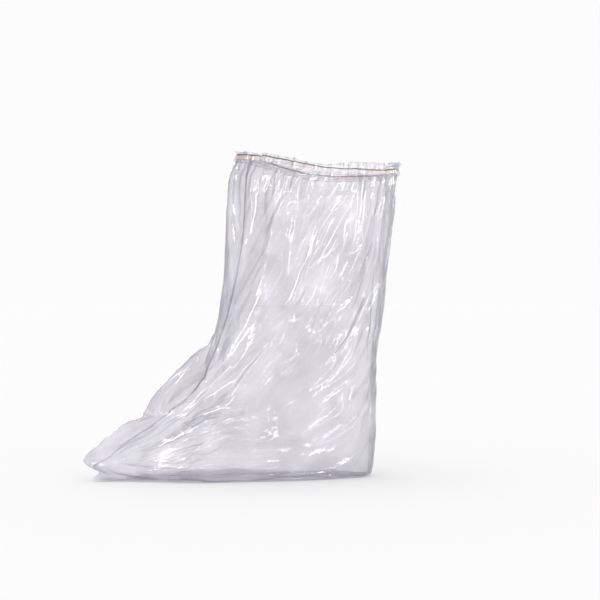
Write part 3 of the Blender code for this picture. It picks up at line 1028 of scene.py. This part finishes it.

# The elastic: its size, its middle's rise above the cuff line, its offset from the film, and the share of its
# width at the top that is painted dark as shade under the hem's rim
ELASTIC_WIDTH = 0.006
ELASTIC_THICKNESS = 0.0008
ELASTIC_RISE = -0.0025
ELASTIC_OFFSET = -0.0003
ELASTIC_CORNER = 0.00015
ELASTIC_GATHER = 0.0012
ELASTIC_SHADOW_SHARE = 0.27


def frilled(ring, normal, share, rise):
    """The cuff's ring with the frill's crinkles, and lower at the front, where it is above its foot."""
    above = max(rise - FRILL_FOOT, 0)
    fade = min(above / FRILL_FADE, 1)
    ring[:, 2] -= above * (1 - FRONT_FRILL) * (1 - stepped(FRILL_BACK, leg_depth(ring)))
    ripple = 0
    for changes, drift, seed, part in CRINKLES:
        ripple = ripple + part * ring_noise(share, changes, drift * rise, seed)
    ring += normal * (FRILL_CRINKLE * ripple * fade)[:, None]
    ring[:, 2] += FRILL_TOP * ring_noise(share, *FRILL_TOP_NOISE) * fade
    return ring


def cuff_ring(rise, offset, depth):
    """A ring of points round the cuff at a rise above the cuff line, with the gathers and the frill."""
    level = CUFF_HEIGHT + rise
    column = sections_at(np.array([level]))[0]
    right = half_ring(np.array((column[1], level)), np.array((column[2], level)), 0)
    line = np.concatenate([right, right[-2:0:-1] * (-1, 1, 1), right[:1]])
    share = np.arange(HEM_POINTS) / HEM_POINTS
    ring = along(line, share)
    ahead = np.roll(ring, -1, axis=0) - np.roll(ring, 1, axis=0)
    normal = np.cross(ahead, (0, 0, 1))
    normal /= np.linalg.norm(normal, axis=-1, keepdims=True)
    wave = gather_wave(share) + fine_gather_wave(share)
    ring = ring + normal * (offset + depth * wave)[:, None]
    ring[:, 2] += CUFF_WOBBLE * ring_noise(share, *WOBBLE_NOISE)
    ring[:, 2] += HEM_SCALLOP * wave * min(max((-rise - SCALLOP_FROM) / SCALLOP_SPAN, 0), 1)
    return frilled(ring, normal, share, rise)


def cuff_hem(film):
    """The doubled film of the hem, with the frill above the elastic."""
    rings = np.array([cuff_ring(*row) for row in HEM_ROWS])
    return shown("cuff_hem", mesh_from_grid("cuff_hem", tilted(rings), closed=True), film)


def elastic_loop(elastic, edge):
    """The flat elastic inside the hem: tan, with a thin painted shadow along its top, where the hem's rim
    would shade it.
    """
    low, high = ELASTIC_RISE - ELASTIC_WIDTH / 2, ELASTIC_RISE + ELASTIC_WIDTH / 2
    # Above this rise the elastic is painted dark: painted shade under the hem's rim.
    turn = high - ELASTIC_SHADOW_SHARE * ELASTIC_WIDTH
    middle = (low + turn) / 2
    outer, inner = ELASTIC_OFFSET, ELASTIC_OFFSET - ELASTIC_THICKNESS
    corner = ELASTIC_CORNER
    rows = [
        (low + corner, inner), (low, inner + corner), (low, outer - corner), (low + corner, outer),
        (middle, outer + corner), (turn, outer), (high - corner, outer), (high, outer - corner),
        (high, inner + corner), (high - corner, inner), (turn, inner), (middle, inner), (low + corner, inner),
    ]
    rings = np.array([cuff_ring(rise, offset, ELASTIC_GATHER) for rise, offset in rows])
    mesh = mesh_from_grid("elastic_loop", tilted(rings), closed=True)
    piece = shown("elastic_loop", mesh, elastic, edge)
    # The faces above that rise take the painted shadow material.
    painted_shadow_rows = [min(row[0], after[0]) >= turn for row, after in zip(rows, rows[1:])]
    for face in piece.data.polygons:
        face.material_index = int(painted_shadow_rows[face.index // HEM_POINTS])
    return piece


def film_bag(points, film):
    """The bag of film, from the weld all round and back to it."""
    ring = np.roll(points, -weld_column(points), axis=1)
    cut_open = np.concatenate([ring, ring[:, :1]], axis=1)
    return shown("film_bag", mesh_from_grid("film_bag", cut_open), film)


# The weld down the front: across the flange, from its root, as shares of its width, with the offset from
# the film in metres
WELD_WIDTH = 0.0018
WELD_ROWS = (
    (-0.15, -0.0002),
    (0.00, 0.0004),
    (0.15, 0.0006),
    (0.35, 0.0005),
    (0.70, 0.0006),
    (1.00, 0.0005),
    (1.00, 0.0002),
    (0.50, 0.0001),
    (0.00, -0.0003),
)
WELD_PUCKER = 0.0004
WELD_PUCKER_LENGTH = 0.006
WELD_SEED = 51
WELD_BUNCH = 2.2
WELD_BUNCH_REACH = 0.012
WELD_BUNCH_LIFT = 1.5


def weld_seam(points, film):
    """The welded flange that joins the two panels, folded flat against the film and bunched at the cuff."""
    column = weld_column(points)
    root = points[:, column]
    normal = grid_normals(points)[:, column]
    front = points[:, column - 1] - points[:, column + 1]
    front /= np.linalg.norm(front, axis=-1, keepdims=True)
    down = lengths(root)
    pucker = smooth_noise(down / WELD_PUCKER_LENGTH, np.full_like(down, 0.5), WELD_SEED)
    bunch = 1 + WELD_BUNCH * np.exp(-down / WELD_BUNCH_REACH)
    rows = []
    for share, offset in WELD_ROWS:
        lift = offset + WELD_PUCKER * pucker * bunch ** WELD_BUNCH_LIFT * max(share, 0)
        rows.append(root + front * (WELD_WIDTH * share * bunch)[:, None] + normal * lift[:, None])
    flange = np.swapaxes(np.array(rows), 0, 1)
    return shown("weld_seam", mesh_from_grid("weld_seam", flange), film)


# The world's light: behind the cover as the photograph sees it, at the sides and above
BACKDROP_LIGHT = 0.975
SIDE_LIGHT = 0.53
TOP_LIGHT = 1.19

# Where the light changes, as parts of a direction: towards the backdrop, and upwards from the horizon's
# white band and from the sides to the top
BACKDROP_EDGE = (0.80, 0.96)
HORIZON_EDGE = (0.10, 0.32)
TOP_EDGE = (0.30, 0.75)

# The lamps: name, place, width and height in metres, and radiance
LAMP_AIM = (0, 0.02, 0.2)
LAMPS = (
    ("strip_right", (1.15, 0.85, 0.75), (0.10, 1.0), 20),
    ("strip_left", (1.1, -1.2, 0.6), (0.10, 1.0), 18),
    ("strip_front", (1.5, 0.1, 1.2), (0.9, 0.08), 18),
    ("strip_near", (1.50, 0.62, 0.42), (0.07, 0.80), 13),
    ("strip_far", (-1.3, -0.5, 0.8), (0.08, 0.9), 16),
    ("strip_back", (-1.0, 1.1, 0.8), (0.08, 0.9), 16),
)

# The floor lies just under the film
FLOOR_HEIGHT = -0.0015
FLOOR_REACH = 60

# The camera: degrees round from the toe's side, and metres
CAMERA_AZIMUTH = 83
CAMERA_DISTANCE = 1.70
CAMERA_HEIGHT = 0.195
CAMERA_AIM_Y = 0.045
CAMERA_SENSOR = 36
CAMERA_LENS = 91.5


def soft_world():
    """Soft light from above, a white backdrop behind the cover and at the horizon, and darker sides."""
    world = bpy.data.worlds.new("studio")
    world.use_nodes = True
    place = add_node(world, "ShaderNodeTexCoord")
    parts = add_node(world, "ShaderNodeSeparateXYZ")
    backdrop = add_node(world, "ShaderNodeVectorMath")
    backdrop.operation = "DOT_PRODUCT"
    azimuth = math.radians(CAMERA_AZIMUTH)
    backdrop.inputs[1].default_value = (-math.sin(azimuth), math.cos(azimuth), 0)
    level = add_step(world, *BACKDROP_EDGE, SIDE_LIGHT, BACKDROP_LIGHT)
    above = add_step(world, *HORIZON_EDGE)
    low = add_node(world, "ShaderNodeMix")
    low.inputs[2].default_value = BACKDROP_LIGHT
    high = add_step(world, *TOP_EDGE)
    mix = add_node(world, "ShaderNodeMix")
    mix.inputs[3].default_value = TOP_LIGHT
    ground = world.node_tree.nodes["Background"]
    ground.inputs["Color"].default_value = (1, 1, 1, 1)
    joined(
        world,
        (place, "Generated", parts, "Vector"),
        (place, "Generated", backdrop, 0),
        (backdrop, "Value", level, "Value"),
        (parts, "Z", above, "Value"),
        (above, "Result", low, 0),
        (level, "Result", low, 3),
        (parts, "Z", high, "Value"),
        (high, "Result", mix, 0),
        (low, 0, mix, 2),
        (mix, 0, ground, "Strength"),
    )
    bpy.context.scene.world = world


def pale_floor():
    """A plain pale floor."""
    sides = (-FLOOR_REACH, FLOOR_REACH)
    corners = np.array([[(x, y, FLOOR_HEIGHT) for x in sides] for y in sides])
    material, shader, _ = new_material("pale_floor")
    shader.inputs["Base Color"].default_value = (0.95, 0.95, 0.95, 1)
    shader.inputs["Roughness"].default_value = 0.8
    shader.inputs["Specular IOR Level"].default_value = 0
    shown("floor", mesh_from_grid("floor", corners), material)


def soft_lamp(lit, name, place, size, radiance):
    """A rectangular lamp that faces the middle of the cover and lights only what is in one collection."""
    light = bpy.data.lights.new(name, "AREA")
    light.shape = "RECTANGLE"
    light.size, light.size_y = size
    light.energy = radiance * math.pi * size[0] * size[1]
    lamp = bpy.data.objects.new(name, light)
    lamp.location = place
    lamp.rotation_euler = (Vector(LAMP_AIM) - Vector(place)).to_track_quat("-Z", "Y").to_euler()
    lamp.light_linking.receiver_collection = lit
    bpy.context.scene.collection.objects.link(lamp)


def studio():
    """The world, the floor, the lamps and the camera at the photograph's angle."""
    scene = bpy.context.scene
    soft_world()
    pale_floor()
    lit = bpy.data.collections.new("lit_by_lamps")
    for lamp in LAMPS:
        soft_lamp(lit, *lamp)
    camera = bpy.data.objects.new("camera", bpy.data.cameras.new("camera"))
    camera.data.lens = CAMERA_LENS
    camera.data.sensor_width = CAMERA_SENSOR
    azimuth = math.radians(CAMERA_AZIMUTH)
    aim = Vector((0, CAMERA_AIM_Y, CAMERA_HEIGHT))
    camera.location = aim + CAMERA_DISTANCE * Vector((math.sin(azimuth), -math.cos(azimuth), 0))
    camera.rotation_euler = (aim - camera.location).to_track_quat("-Z", "Y").to_euler()
    scene.collection.objects.link(camera)
    scene.camera = camera
    scene.view_settings.view_transform = "Standard"
    return lit


def main():
    """Builds the cover's pieces and their surroundings, attaches the pieces to the root body and hides the
    CAD parts that they replace.
    """
    clear = film_material("clear_film", *CLEAR_FILM)
    doubled = film_material("doubled_film", *DOUBLED_FILM)
    thin = film_material("hem_film", *HEM_FILM)
    elastic = elastic_material("woven_elastic", *WOVEN_ELASTIC)
    # Painted shade: a dark material for the elastic's top, in place of the shadow under the hem's rim.
    edge = elastic_material("elastic_painted_shadow", *PAINTED_SHADOW_LINE)
    lit = studio()
    points = tilted(film_surface())
    cover = film_bag(points, clear)
    hem = cuff_hem(thin)
    seam = weld_seam(points, doubled)
    loop = elastic_loop(elastic, edge)
    for piece in (cover, hem, seam, loop):
        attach(piece, "root")
        lit.objects.link(piece)
    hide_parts("film_cover")
    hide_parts("elastic_band")


main()
